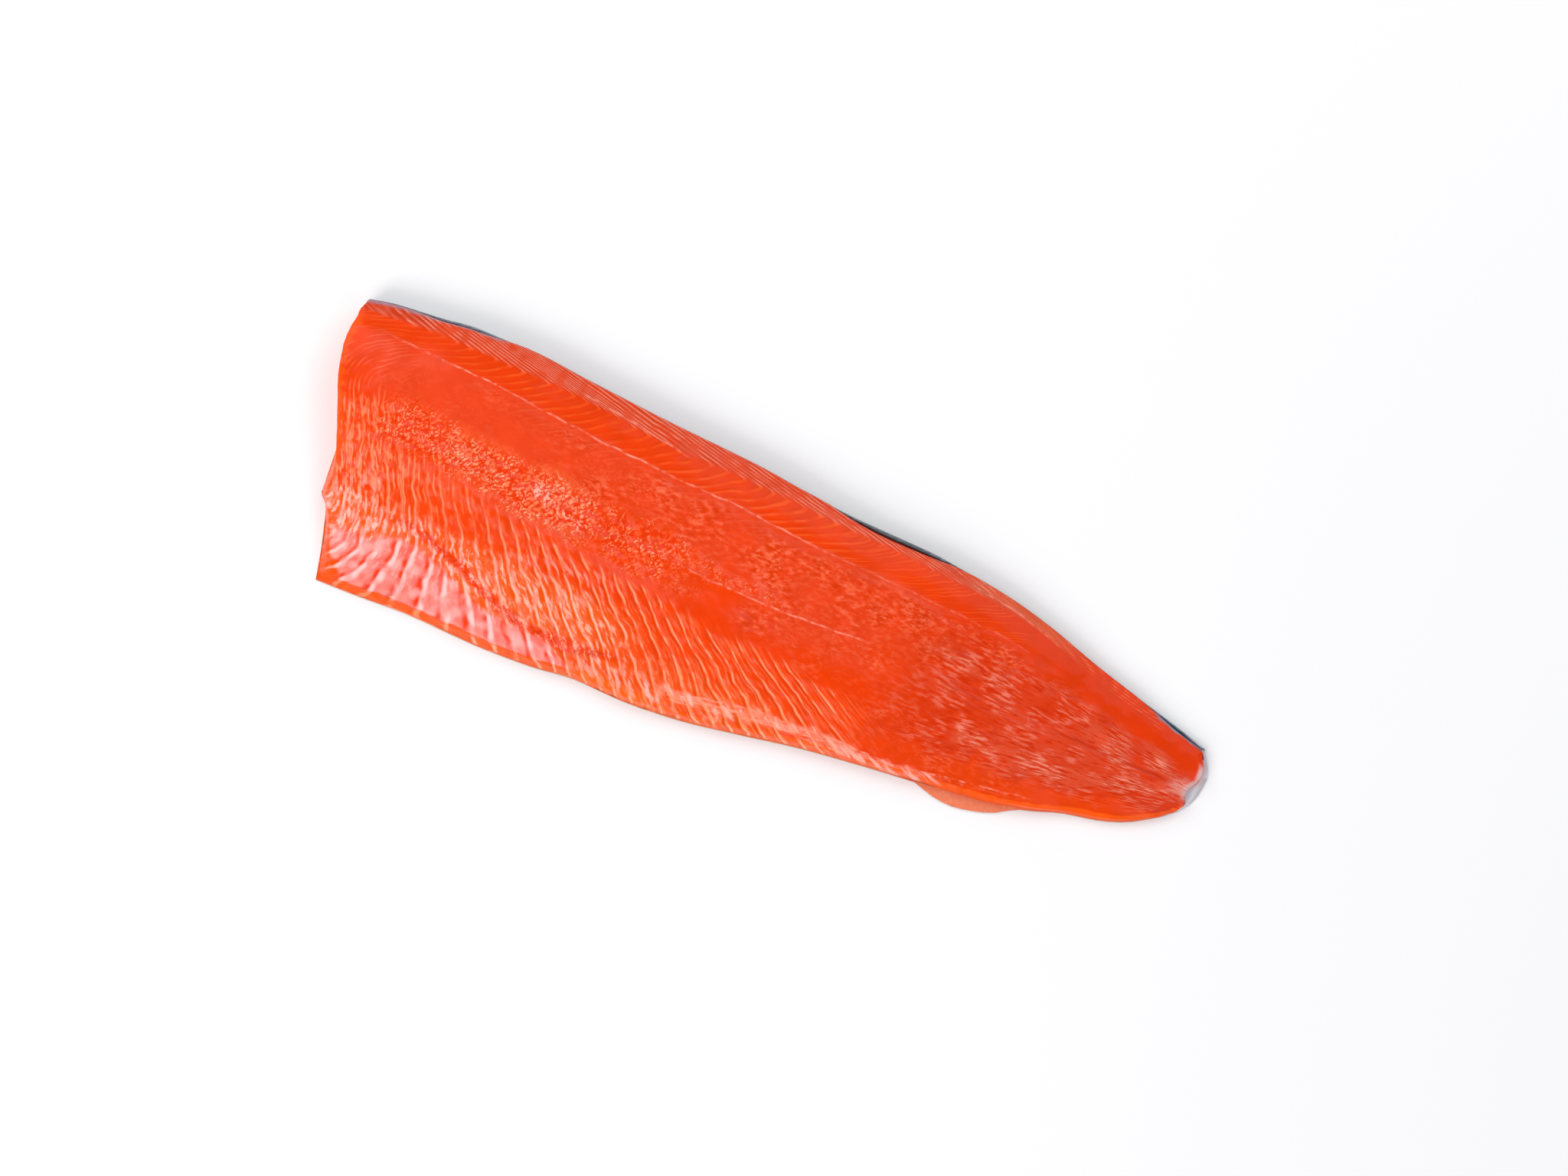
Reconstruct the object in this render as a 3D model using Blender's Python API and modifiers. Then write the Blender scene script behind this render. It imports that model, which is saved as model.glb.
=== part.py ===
"""A raw salmon fillet lying skin side down, as two closed solids: the flesh and the skin under it.

The fillet points along +X, from the cut behind the head to the tail. Its back is at +Y and its
belly at -Y. Sizes are in metres, and tables are in millimetres, read through MM.
"""

import bisect
import functools
import math

import bmesh
import bpy
import numpy as np

MM = 0.001

# Driving sizes
FULL_HEIGHT = 22.4 * MM  # of the thickest muscle over the floor
SKIN_THICK = 0.8 * MM
GAP = 0.4 * MM  # between skin and flesh, so that the two solids never touch
SEAT = SKIN_THICK + GAP  # how far the flesh lies inside the skin's outer face
SKIN_OVER = 0.3 * MM  # how far the skin reaches past the flesh along the belly

# The outline seen from above. The long edges are y by the share s of the way to the tail, and the
# two short ends are x by the share t of the way from back to belly.
BACK_EDGE = (
    (0, 55.2), (0.03, 57.8), (0.08, 60.0), (0.12, 62.2), (0.18, 62.3), (0.25, 60.3), (0.35, 57.8),
    (0.45, 56.1), (0.5, 54.2), (0.57, 52.5), (0.65, 52.1), (0.7, 50.2), (0.75, 47.6), (0.8, 43.3),
    (0.85, 37.4), (0.9, 32.2), (0.95, 27.6), (1, 22.6),
)
BELLY_EDGE = (
    (0, -62.5), (0.05, -61.8), (0.12, -60.4), (0.2, -60.9), (0.27, -59.7), (0.33, -57.2),
    (0.38, -57.5), (0.45, -55.6), (0.52, -51.2), (0.6, -45.6), (0.68, -41.6), (0.75, -38.6),
    (0.82, -35.4), (0.87, -31.2), (0.91, -26.2), (0.95, -23.0), (0.98, -19.2), (1, -15.0),
)
HEAD_CUT = (
    (0, -201.4), (0.03, -203.2), (0.08, -202.6), (0.13, -203.9), (0.2, -203.2), (0.3, -200.0),
    (0.45, -193.0), (0.55, -188.9), (0.63, -188.0), (0.7, -187.9), (0.76, -182.6), (0.88, -178.0),
    (1, -174.3),
)
TAIL_END = (
    (0, 198.6), (0.15, 202.3), (0.3, 204.6), (0.45, 204.2), (0.6, 202.9), (0.75, 199.4),
    (0.88, 194.2), (1, 187.0),
)

# How far the flesh's upper rim lies inside that outline, because the knife cut at a slant
HEAD_SLANT = ((0, 1.8), (0.3, 2.0), (0.55, 2.6), (0.66, 4.4), (0.8, 3.6), (1, 5.6))
BELLY_SLANT = ((0, 4.6), (0.15, 4.4), (0.28, 3.0), (0.36, 2.0), (0.5, 2.6), (0.8, 2.2), (1, 1.6))
TAIL_SHOWS = (
    (0, 2.2), (0.2, 2.8), (0.36, 3.2), (0.45, 6.2), (0.54, 5.6), (0.66, 2.2), (0.8, 1.6), (1, 1.4),
)

# How far the rounded back swells past the rim, so that skin shows from above. Where it is below
# zero, the flesh hangs over the skin instead.
BACK_SWELL = (
    (0, 1.0), (0.03, 1.1), (0.06, 1.2), (0.1, 2.4), (0.13, 1.9), (0.17, 0.1), (0.2, -0.5),
    (0.5, -0.5), (0.535, 0.2), (0.57, 2.0), (0.61, 3.0), (0.65, 2.5), (0.69, 0.5), (0.73, -0.5),
    (0.88, -0.5), (0.92, 0.3), (0.96, 1.9), (1, 2.6),
)

# The stub of the fin behind the vent, a flap of skin that stands out past the belly's edge
FIN_STUB = ((0, 0), (0.735, 0), (0.76, 3.4), (0.79, 5.2), (0.83, 3.8), (0.865, 0), (1, 0))

# The thickest muscle along the fillet as a share of the full height, and two cross sections as
# shares of that muscle
THICKNESS = (
    (0, 0.83), (0.06, 0.93), (0.2, 1.0), (0.35, 0.98), (0.5, 0.9), (0.65, 0.75), (0.8, 0.55),
    (0.9, 0.39), (0.97, 0.27), (1, 0.21),
)
RIBS_SECTION = (
    (0, 0.56), (0.06, 0.74), (0.14, 0.9), (0.27, 1.0), (0.38, 0.97), (0.47, 0.84), (0.6, 0.62),
    (0.75, 0.46), (0.9, 0.35), (1, 0.29),
)
TAIL_SECTION = (
    (0, 0.58), (0.08, 0.78), (0.22, 0.95), (0.36, 1.0), (0.47, 0.95), (0.6, 0.93), (0.78, 0.78),
    (0.92, 0.58), (1, 0.44),
)
TAIL_BEGINS = (0.42, 0.78)  # the section turns from one to the other between these shares of s

# Furrows that run along the fillet: where they lie in t by s, how deep and how wide they are
BACK_FURROW = ((0, 0.07), (0.1, 0.11), (0.2, 0.155), (0.4, 0.175), (0.6, 0.19), (0.8, 0.2), (1, 0.3))
BONE_FURROW = ((0, 0.43), (0.3, 0.44), (0.5, 0.452), (0.7, 0.46), (0.85, 0.45), (1, 0.44))
FURROWS = ((BACK_FURROW, 0.45 * MM, 3.5 * MM), (BONE_FURROW, 0.9 * MM, 4.5 * MM))
FURROW_FADES = 8 * MM  # furrows are shallower where the fillet is thinner than this

# Slow swells of the upper face: rise, length along and across the fillet, and turn in radians
SWELLS = ((0.2 * MM, 71 * MM, 43 * MM, 0.4), (0.15 * MM, 37 * MM, -64 * MM, 2.1))

# How the rounded back turns under
WIDEST_AT = 0.46  # the height of its widest point, as a share of the rim's height
UPPER_LEAN = 0.4 * MM
TUCK = 9.0 * MM  # how far inside the widest point it meets the floor
TUCK_BY_HEIGHT = 0.75  # and no further than this share of the rim's height
SKIN_TOP = ((0, 0.84), (0.84, 0.82), (0.93, 0.7), (1, 0.6))  # its upper edge, as a share of the rim

# How the cut faces run down
CUT_BOW = 0.8  # under 1, the slanted cuts bow outwards
TAIL_CUT_RUN = 0.12  # how much of the tail's bare skin the cut there runs out over

# Mesh density
COLUMNS = 80
ROWS = 26
EDGE = 0.001  # a share this close to 0 or 1 is on the rim
WALL_STEPS = (0.07, 0.15, 0.37, 0.62, 0.84, 1.0)
LIP_DEPTH = 0.1  # the flesh hangs over the skin's edge down to here
SKIN_UPPER = 2
SKIN_TURN = 4
SKIN_FLAT = 8


@functools.lru_cache(maxsize=None)
def knots(points):
    """Places, values and slopes of a table. The slopes never make the curve pass a high or a low."""
    places, values = (list(column) for column in zip(*points))
    rates = [(b[1] - a[1]) / (b[0] - a[0]) for a, b in zip(points, points[1:])]
    inner = [2 * a * b / (a + b) if a * b > 0 else 0.0 for a, b in zip(rates, rates[1:])]
    return places, values, [rates[0], *inner, rates[-1]]


def curve(points, at):
    """Reads a smooth curve through (place, value) points."""
    places, values, slopes = knots(points)
    at = min(max(at, places[0]), places[-1])
    k = min(bisect.bisect_right(places, at), len(places) - 1) - 1
    run = places[k + 1] - places[k]
    f = (at - places[k]) / run
    start = (1 + 2 * f) * (1 - f) ** 2 * values[k] + f * (1 - f) ** 2 * run * slopes[k]
    end = f * f * (3 - 2 * f) * values[k + 1] + f * f * (f - 1) * run * slopes[k + 1]
    return start + end


def mix(a, b, share):
    return a + (b - a) * share


def ease(low, high, at):
    """Rises smoothly from 0 at low to 1 at high."""
    f = min(max((at - low) / (high - low), 0.0), 1.0)
    return f * f * (3 - 2 * f)


def plan(s, t):
    """The point seen from above at the shares s, head to tail, and t, back to belly."""
    x = mix(curve(HEAD_CUT, t), curve(TAIL_END, t), s) * MM
    y = mix(curve(BACK_EDGE, s), curve(BELLY_EDGE, s), t) * MM
    return x, y


def width(s):
    return (curve(BACK_EDGE, s) - curve(BELLY_EDGE, s)) * MM


def length(t):
    return (curve(TAIL_END, t) - curve(HEAD_CUT, t)) * MM


def height(s, t):
    """The upper face's height over the floor."""
    tail = ease(*TAIL_BEGINS, s)
    section = mix(curve(RIBS_SECTION, t), curve(TAIL_SECTION, t), tail)
    z = FULL_HEIGHT * curve(THICKNESS, s) * section
    for line, depth, reach in FURROWS:
        off = (t - curve(line, s)) * width(s) / reach
        z -= depth * math.exp(-off * off) * min(1.0, z / FURROW_FADES)
    x, y = plan(s, t)
    for rise, long_way, cross_way, turn in SWELLS:
        z += rise * math.sin(x / long_way * math.tau + y / cross_way * math.tau + turn)
    return z


def rim_s(a, t):
    """The share s of a point a of the way along the flesh's upper face."""
    start = curve(HEAD_SLANT, t) * MM / length(t)
    end = 1 - curve(TAIL_SHOWS, t) * MM / length(t)
    return mix(start, end, a)


def rim_t(s, b):
    """The share t of a point b of the way across the flesh's upper face."""
    start = max(curve(BACK_SWELL, s), 0.0) * MM / width(s)
    end = 1 - curve(BELLY_SLANT, s) * MM / width(s)
    return mix(start, end, b)


def back_rim(s):
    """The height of the flesh's rim along the back."""
    return height(s, rim_t(s, 0.0))


def lean(s):
    """How many times longer a step across the fillet is than its distance from the back edge."""
    step = 0.01
    near = np.array(plan(max(s - step, 0.0), 0.0))
    run = np.array(plan(min(s + step, 1.0), 0.0)) - near
    inward = np.array(plan(s, step)) - np.array(plan(s, 0.0))
    distance = abs(run[0] * inward[1] - run[1] * inward[0]) / math.hypot(*run)
    return step * width(s) / distance


def tuck(s):
    """How far under the widest point the rounded back meets the floor."""
    return min(TUCK, TUCK_BY_HEIGHT * back_rim(s))


def back_offset(s, z, inside):
    """How far inside the outline the rounded back lies at height z, for a face that lies that
    far inside the skin's outer face. The upper part leans to the rim, the lower is an ellipse."""
    rim = back_rim(s)
    middle = WIDEST_AT * rim
    swell = curve(BACK_SWELL, s) * MM
    widest = -min(swell, 0.0)
    across = inside * lean(s)
    if z >= middle:
        rise = max(max(swell, 0.0) + UPPER_LEAN - widest, 0.0)
        share = (z - middle) / (rim - middle)
        slope = 2 * share * rise / (rim - middle)
        return widest + rise * share * share + across * math.hypot(1.0, slope)
    run = tuck(s)
    share = min((middle - z) / (middle - inside), 1.0)
    return widest + run - (run - across) * math.sqrt(1 - share * share)


def flesh_point(a, b):
    s = rim_s(a, b)
    t = rim_t(s, b)
    return (*plan(s, t), height(s, t))


def flesh_wall_point(a, b, depth):
    """A point of the flesh's side under the rim point a, b, at that share of the way down."""
    s = rim_s(a, b)
    t = rim_t(s, b)
    z = mix(height(s, t), SEAT, depth)
    if a < EDGE:
        s = s * (1 - depth**CUT_BOW)
    if a > 1 - EDGE:
        s = mix(s, 1, TAIL_CUT_RUN * depth)
    if b > 1 - EDGE:
        t = mix(t, 1, depth**CUT_BOW)
    if b < EDGE and depth > LIP_DEPTH:
        t = back_offset(s, z, SEAT) / width(s)
    return (*plan(s, t), z)


def skin_point(a, row):
    """A point of the skin's outer face, from its edge on the back, round and under, to the belly."""
    s = a
    turned = SKIN_UPPER + SKIN_TURN
    if row >= turned:
        start = tuck(s) + max(-curve(BACK_SWELL, s), 0.0) * MM
        t = mix(start / width(s), 1 + SKIN_OVER / width(s), (row - turned) / SKIN_FLAT)
        if row == turned + SKIN_FLAT:
            t += curve(FIN_STUB, s) * MM / width(s)
        return (*plan(s, t), 0.0)
    rim = back_rim(s)
    middle = WIDEST_AT * rim
    if row < SKIN_UPPER:
        z = mix(curve(SKIN_TOP, s) * rim, middle, row / SKIN_UPPER)
    else:
        z = middle * (1 - math.sin((row - SKIN_UPPER) / SKIN_TURN * math.pi / 2))
    t = back_offset(s, z, 0.0) / width(s)
    s += (1 - s) * curve(HEAD_SLANT, 0.0) * MM / length(0.0) * z / rim
    return (*plan(s, t), z)


def material(name, colour, roughness):
    made = bpy.data.materials.new(name)
    made.use_nodes = True
    shader = made.node_tree.nodes["Principled BSDF"]
    shader.inputs["Base Color"].default_value = (*colour, 1.0)
    shader.inputs["Roughness"].default_value = roughness
    shader.inputs["Metallic"].default_value = 0.0
    return made


def face_outwards(bm):
    """The lowest face of a solid, or of a sheet that lies on the floor, points down."""
    bmesh.ops.recalc_face_normals(bm, faces=bm.faces)
    if min(bm.faces, key=lambda f: f.calc_center_median().z).normal.z > 0:
        bmesh.ops.reverse_faces(bm, faces=bm.faces)


def add_object(name, bm, look, collection):
    mesh = bpy.data.meshes.new(name)
    bm.to_mesh(mesh)
    bm.free()
    mesh.materials.append(look)
    mesh.shade_smooth()
    made = bpy.data.objects.new(name, mesh)
    collection.objects.link(made)
    return made


def make_flesh(collection):
    """A grid for the upper face, its open edge drawn down step by step for the sides, and one flat
    face that closes it underneath."""
    bm = bmesh.new()
    bmesh.ops.create_grid(bm, x_segments=COLUMNS, y_segments=ROWS, size=0.5)
    share = bm.verts.layers.float_vector.new("share")
    for v in bm.verts:
        v[share] = (v.co.x + 0.5, 0.5 - v.co.y, 0)
        v.co = flesh_point(v[share].x, v[share].y)
    edge = [e for e in bm.edges if e.is_boundary]
    for depth in WALL_STEPS:
        grown = bmesh.ops.extrude_edge_only(bm, edges=edge)["geom"]
        edge = [g for g in grown if isinstance(g, bmesh.types.BMEdge) and g.is_boundary]
        for v in {v for e in edge for v in e.verts}:
            v.co = flesh_wall_point(v[share].x, v[share].y, depth)
    bmesh.ops.contextual_create(bm, geom=edge)
    face_outwards(bm)
    look = material("raw_salmon_flesh", (0.84, 0.08, 0.02), 0.35)
    return add_object("flesh", bm, look, collection)


def make_skin(collection):
    """One open sheet that wraps the back and lies under the flesh, with Solidify for its thickness."""
    rows = SKIN_UPPER + SKIN_TURN + SKIN_FLAT
    bm = bmesh.new()
    bmesh.ops.create_grid(bm, x_segments=COLUMNS, y_segments=rows, size=0.5)
    for v in bm.verts:
        v.co = skin_point(v.co.x + 0.5, round((0.5 + v.co.y) * rows))
    face_outwards(bm)
    look = material("salmon_skin", (0.09, 0.11, 0.13), 0.3)
    skin = add_object("skin", bm, look, collection)
    wall = skin.modifiers.new("thickness", "SOLIDIFY")
    wall.thickness = SKIN_THICK
    wall.offset = -1.0
    wall.use_even_offset = True
    return skin


def stand_at_origin(pieces):
    """Moves the meshes together, so that the origin is under the middle of the whole."""
    bpy.context.view_layer.update()
    graph = bpy.context.evaluated_depsgraph_get()
    corners = np.array([c[:] for piece in pieces for c in piece.evaluated_get(graph).bound_box])
    low, high = corners.min(0), corners.max(0)
    for piece in pieces:
        for v in piece.data.vertices:
            v.co.x -= (low[0] + high[0]) / 2
            v.co.y -= (low[1] + high[1]) / 2
            v.co.z -= low[2]


def main():
    for old in list(bpy.data.objects):
        bpy.data.objects.remove(old)
    fillet = bpy.data.collections.new("raw_salmon_fillet")
    bpy.context.scene.collection.children.link(fillet)
    stand_at_origin([make_flesh(fillet), make_skin(fillet)])


main()
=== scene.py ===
# %% [markdown]
# A raw salmon fillet, seen from above
#
# The CAD model holds two solids in one frame: the flesh, and the skin that it lies on. This file
# dresses both. Raw fish is one soft body, so its look comes from anatomy: every pale line on it is
# a sheet of connective tissue between two blocks of muscle, cut through by the knife. We lay out
# that anatomy as smooth fields on a fine mesh, and let the materials draw crisp lines from them.

# %% Load the fixed frame
import math

import bmesh
import bpy
import numpy as np
from mathutils import Matrix, Vector, noise


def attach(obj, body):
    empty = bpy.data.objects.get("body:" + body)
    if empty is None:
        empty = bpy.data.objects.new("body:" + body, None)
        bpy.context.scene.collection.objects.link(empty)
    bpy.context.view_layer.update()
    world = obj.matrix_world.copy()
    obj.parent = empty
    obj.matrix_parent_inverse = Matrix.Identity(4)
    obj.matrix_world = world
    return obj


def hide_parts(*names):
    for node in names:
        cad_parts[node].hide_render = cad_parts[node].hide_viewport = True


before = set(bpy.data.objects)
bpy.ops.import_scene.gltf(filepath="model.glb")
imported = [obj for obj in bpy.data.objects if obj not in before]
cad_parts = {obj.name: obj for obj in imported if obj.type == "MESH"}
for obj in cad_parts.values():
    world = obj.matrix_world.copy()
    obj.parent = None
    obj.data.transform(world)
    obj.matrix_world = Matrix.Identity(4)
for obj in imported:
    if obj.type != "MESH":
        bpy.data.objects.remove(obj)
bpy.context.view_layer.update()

MM = 0.001

# %% [markdown]
# Both pieces start as copies of the CAD meshes, because the outline, the slanted cuts and the
# thickness are already right there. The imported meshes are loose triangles, so a copy is merged
# before anything else. The upper side needs about one vertex per millimetre for the relief of the
# muscle, while the underside lies on the skin and can stay coarse. So we split only the faces
# that look upwards, and then smooth away the flat facets.

# %% Copy the flesh and refine what looks upwards
SPLIT_ABOVE = 0.25  # a face is split if its normal points up by more than this share
OPEN_ABOVE = 0.05  # a vertex is smoothed, and counts for the outline, above this share
CUTS_PER_EDGE = 4
SMOOTHING_ROUNDS = 7


def merged_copy(node_name):
    """A bmesh copy of a CAD node, whose triangles share their corners."""
    bm = bmesh.new()
    bm.from_mesh(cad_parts[node_name].data)
    bmesh.ops.remove_doubles(bm, verts=bm.verts, dist=0.01 * MM)
    return bm


flesh_bm = merged_copy("flesh")
upper_faces = [f for f in flesh_bm.faces if f.normal.z > SPLIT_ABOVE]
upper_edges = list({e for f in upper_faces for e in f.edges})
bmesh.ops.subdivide_edges(flesh_bm, edges=upper_edges, cuts=CUTS_PER_EDGE, use_grid_fill=True)
bmesh.ops.triangulate(flesh_bm, faces=[f for f in flesh_bm.faces if len(f.verts) > 4])
smoothable = [v for v in flesh_bm.verts if v.normal.z > OPEN_ABOVE]
for _ in range(SMOOTHING_ROUNDS):
    bmesh.ops.smooth_vert(
        flesh_bm, verts=smoothable, factor=0.5, use_axis_x=True, use_axis_y=True, use_axis_z=True
    )
print("flesh:", len(flesh_bm.verts), "vertices,", len(flesh_bm.faces), "faces")

# %% [markdown]
# The anatomy is written down as lines across the fillet: for some places x along it, the y where
# the line runs, in millimetres. A fillet's muscle blocks are W-shaped. From the back edge the
# sheets between them run far towards the tail, turn back in a sharp tip, run down and forward
# across the loin, turn again near the middle, and sweep backwards over the ribs to the belly.
# A table of slopes for each of those stretches is all that is needed to follow any sheet.


# %% Lines and smooth tables
def smooth_step(low, high, value):
    """Rises smoothly from 0 at low to 1 at high, or falls where high is below low."""
    share = np.clip((value - low) / (high - low), 0.0, 1.0)
    return share * share * (3.0 - 2.0 * share)


def band(value, start, end, soft):
    """1 between start and end, fading over soft at both."""
    rise = smooth_step(start - soft, start + soft, value)
    return rise * smooth_step(end + soft, end - soft, value)


def line_at(points, at, soft=9):
    """The value of a table of (place, value) points, with its corners rounded over soft mm."""
    places = np.arange(-230.0, 231.0)
    values = np.interp(places, [p[0] for p in points], [p[1] for p in points])
    window = np.hanning(2 * soft + 3)[1:-1]
    padded = np.pad(values, soft, mode="edge")
    return np.interp(at, places, np.convolve(padded, window / window.sum(), mode="valid"))


TIPS = (
    (-204, 49.5), (-190, 51), (-170, 52.8), (-140, 52.8), (-105, 52.4), (-90, 51.4), (-75, 50),
    (-60, 48.6), (-48, 48.4), (-30, 49), (-10, 48.2), (10, 47.6), (30, 47), (50, 46.4), (70, 45),
    (90, 43.6), (110, 40.4), (125, 36.4), (140, 31.5), (155, 27.2), (170, 23.6), (185, 20),
    (204, 14),
)
LOIN = (
    (-204, 45.5), (-183, 44.4), (-170, 43.7), (-155, 42.9), (-140, 42.6), (-120, 41.2),
    (-100, 39.7),
    (-85, 38.3), (-70, 37.5), (-50, 37), (-20, 36.6), (0, 34.9), (20, 33.8), (45, 33.4), (75, 32.6),
    (107, 31), (140, 25), (170, 17), (204, 11),
)
MIDLINE = (
    (-204, 25), (-160, 21), (-130, 19), (-100, 17), (-60, 15), (-20, 12.5), (20, 10), (60, 8),
    (100, 6), (150, 4.5), (204, 4.5),
)
RIBS = ((-204, -20), (-100, -21), (-40, -24), (0, -26), (40, -26), (80, -24), (120, -18), (204, -5))
print("loin line above the tail's start:", round(float(line_at(LOIN, 45)), 1), "mm")


# %% Measure the flesh's outline from the mesh
STATION_REACH = 1.2  # mm to either side of a station that count as being there


def outline(points, stations, along, pick):
    """The furthest the points reach at each station, in mm. Axis 0 or 1 is the one walked along."""
    reach = []
    for station in stations:
        near = points[np.abs(points[:, along] - station) < STATION_REACH][:, 1 - along]
        reach.append(pick(near) if len(near) else np.nan)
    reach = np.array(reach)
    known = ~np.isnan(reach)
    return np.interp(stations, stations[known], reach[known])


flesh_points = np.array([v.co[:] for v in flesh_bm.verts]) / MM
upward = np.array([v.normal.z for v in flesh_bm.verts])
seen = flesh_points[upward > OPEN_ABOVE]
x_stations = np.arange(-204.0, 203.0, 1.0)
y_stations = np.arange(-62.0, 63.0, 1.0)
back_reach = outline(seen, x_stations, 0, np.max)
belly_reach = outline(seen, x_stations, 0, np.min)
head_reach = outline(seen, y_stations, 1, np.min)
tail_reach = outline(seen, y_stations, 1, np.max)
x, y, z = flesh_points.T
to_back = np.interp(x, x_stations, back_reach) - y
to_belly = y - np.interp(x, x_stations, belly_reach)
to_head = x - np.interp(y, y_stations, head_reach)
to_tail = np.interp(y, y_stations, tail_reach) - x
middle_width = float(np.interp(0, x_stations, back_reach - belly_reach))
print("width at the middle:", round(middle_width, 1), "mm")


# %% [markdown]
# Now the sheets themselves. SLOPES says how many millimetres a sheet runs towards the tail for
# each millimetre down the picture, in nine steps from the back edge to the belly edge. We walk
# from each vertex to the midline in small steps along its own sheet, and the place where we
# arrive tells which sheet it was. That number, divided by the spacing of the sheets, counts
# muscle blocks, and it changes smoothly everywhere, so a material can draw a sharp line wherever
# it passes a whole number.

# %% Number the sheets between the muscle blocks
SHEET_SPACING = 6.0  # mm along the midline
SLOPE_X = (-190, -165, -140, -120, -90, -60, -20, 20, 60, 120, 200)
SLOPE_STEPS = (0.0, 0.95, 1.05, 1.9, 2.1, 2.9, 3.1, 4.0, 5.0)
SLOPES = (
    (3.0, 3.6, 4.2, 4.6, 4.6, 4.6, 4.6, 4.8, 5.0, 5.0, 5.0),
    (3.0, 3.6, 4.2, 4.6, 4.6, 4.6, 4.6, 4.8, 5.0, 5.0, 5.0),
    (-3.0, -2.0, -1.2, -1.0, -0.8, -0.9, -1.0, -1.2, -1.6, -2.5, -4.0),
    (-3.0, -3.0, -2.6, -2.2, -1.8, -2.0, -2.2, -2.6, -3.0, -4.0, -6.0),
    (-1.6, -1.8, -1.9, -1.9, -1.9, -2.2, -2.4, -2.6, -3.0, -4.0, -6.0),
    (-0.4, -0.5, -0.5, -0.5, -0.6, -0.7, -0.9, -1.2, -2.0, -3.5, -6.0),
    (0.3, 0.35, 0.42, 0.5, 0.6, 0.8, 1.1, 1.6, 2.2, 4.0, 6.0),
    (0.42, 0.45, 0.52, 0.64, 0.88, 1.0, 1.15, 1.6, 2.0, 3.2, 5.0),
    (-1.3, -1.0, -0.35, 0.3, 0.8, 0.75, 0.7, 1.2, 1.9, 2.8, 4.0),
)


def section_step(px, py):
    """Where a point lies across the fillet, from 0 at the back edge to 5 at the belly edge."""
    levels = [
        np.interp(px, x_stations, back_reach), line_at(TIPS, px), line_at(LOIN, px),
        line_at(MIDLINE, px), line_at(RIBS, px), np.interp(px, x_stations, belly_reach),
    ]
    thinnest = 0.5  # mm, so that nothing is divided by zero where two lines meet
    step = np.zeros_like(px)
    for upper, lower in zip(levels, levels[1:]):
        step += np.clip((upper - py) / np.maximum(upper - lower, thinnest), 0.0, 1.0)
    return step


def slope_at(px, py):
    """The run towards the tail per millimetre down, from the table, between its entries."""
    rows = np.array([np.interp(px, SLOPE_X, row) for row in SLOPES])
    step = section_step(px, py)
    upper = np.clip(np.searchsorted(SLOPE_STEPS, step, side="right") - 1, 0, len(SLOPES) - 2)
    start = np.take(SLOPE_STEPS, upper)
    share = (step - start) / (np.take(SLOPE_STEPS, upper + 1) - start)
    each = np.arange(len(px))
    return rows[upper, each] * (1 - share) + rows[upper + 1, each] * share


def sheet_number(px, py, strides=60):
    """Follows each point's sheet to the midline, and counts the sheets up to there."""
    walk_x, walk_y = px.copy(), py.copy()
    stride = (py - line_at(MIDLINE, px)) / strides
    for _ in range(strides):
        walk_x += slope_at(walk_x, walk_y) * stride
        walk_y -= stride
    return walk_x / SHEET_SPACING


across = section_step(x, y)
sheets = sheet_number(x, y)
print("sheets crossed from head to tail:", round(float(sheets.max() - sheets.min())))


# %% [markdown]
# Raw salmon has no single colour. Smooth saturated orange lies along the back, a duller scarlet
# over the middle where the backbone came away, made paler still by a painted soft sheen, broken
# wet tissue below it, fatty orange with pale sheets over the ribs, and a pinkish-white film, the
# lining of the belly, along the lower edge, its own pale colour with a painted soft reflection in
# it.
# Each tissue gets one colour and a soft mask, a share from 0 to 1. The masks are written in
# millimetres, with x from the head at -204 to the tail at 204 and y from the belly's edge up to
# the back, or in the levels of `across`. Their borders are disturbed with noise, since no border
# in meat is straight.

# %% Colours of the tissues, and the noise that frays their borders
SEED_SHIFT = (17.3, 5.1, 9.7)  # moves the noise of each seed to another place
NOISE_GAIN = 1.6  # Blender's noise seldom passes 0.6, so this brings it to about 1


def linear(hex_colour):
    """An sRGB hex colour as linear red, green, blue and alpha."""
    shares = [int(hex_colour[i : i + 2], 16) / 255 for i in (1, 3, 5)]
    return (*(c / 12.92 if c <= 0.04045 else ((c + 0.055) / 1.055) ** 2.4 for c in shares), 1.0)


def wander(size, seed, stretch=1.0):
    """Smooth noise from -1 to 1 with lumps of that size in mm, longer along x by stretch."""
    shift = Vector([seed * step for step in SEED_SHIFT])
    steps = flesh_points / (size * stretch, size, size)
    return np.array([noise.noise(Vector(p) + shift) for p in steps]) * NOISE_GAIN


slow = wander(22, 1)
lumps = wander(9, 2, 1.6)
crumbs = wander(3.2, 3, 1.4)
fray_x = x + 5 * slow + 2.5 * lumps
fray_y = y + 2.2 * lumps + 1.0 * crumbs
print("noise spans", round(float(lumps.min()), 2), "to", round(float(lumps.max()), 2))

# %% Masks of the back and the middle
under_midline = line_at(MIDLINE, fray_x) - fray_y
under_loin = line_at(LOIN, x) - y
towards_tail = smooth_step(56, 96, fray_x)
bundle = smooth_step(1.1, 0.92, across + 0.05 * lumps) * smooth_step(112, 84, fray_x)
brown_back = smooth_step(1.0, 0.7, across) * band(fray_x, 76, 128, 8)
dorsal = band(across, 1.02, 1.98, 0.08) * smooth_step(150, 110, x)
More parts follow.
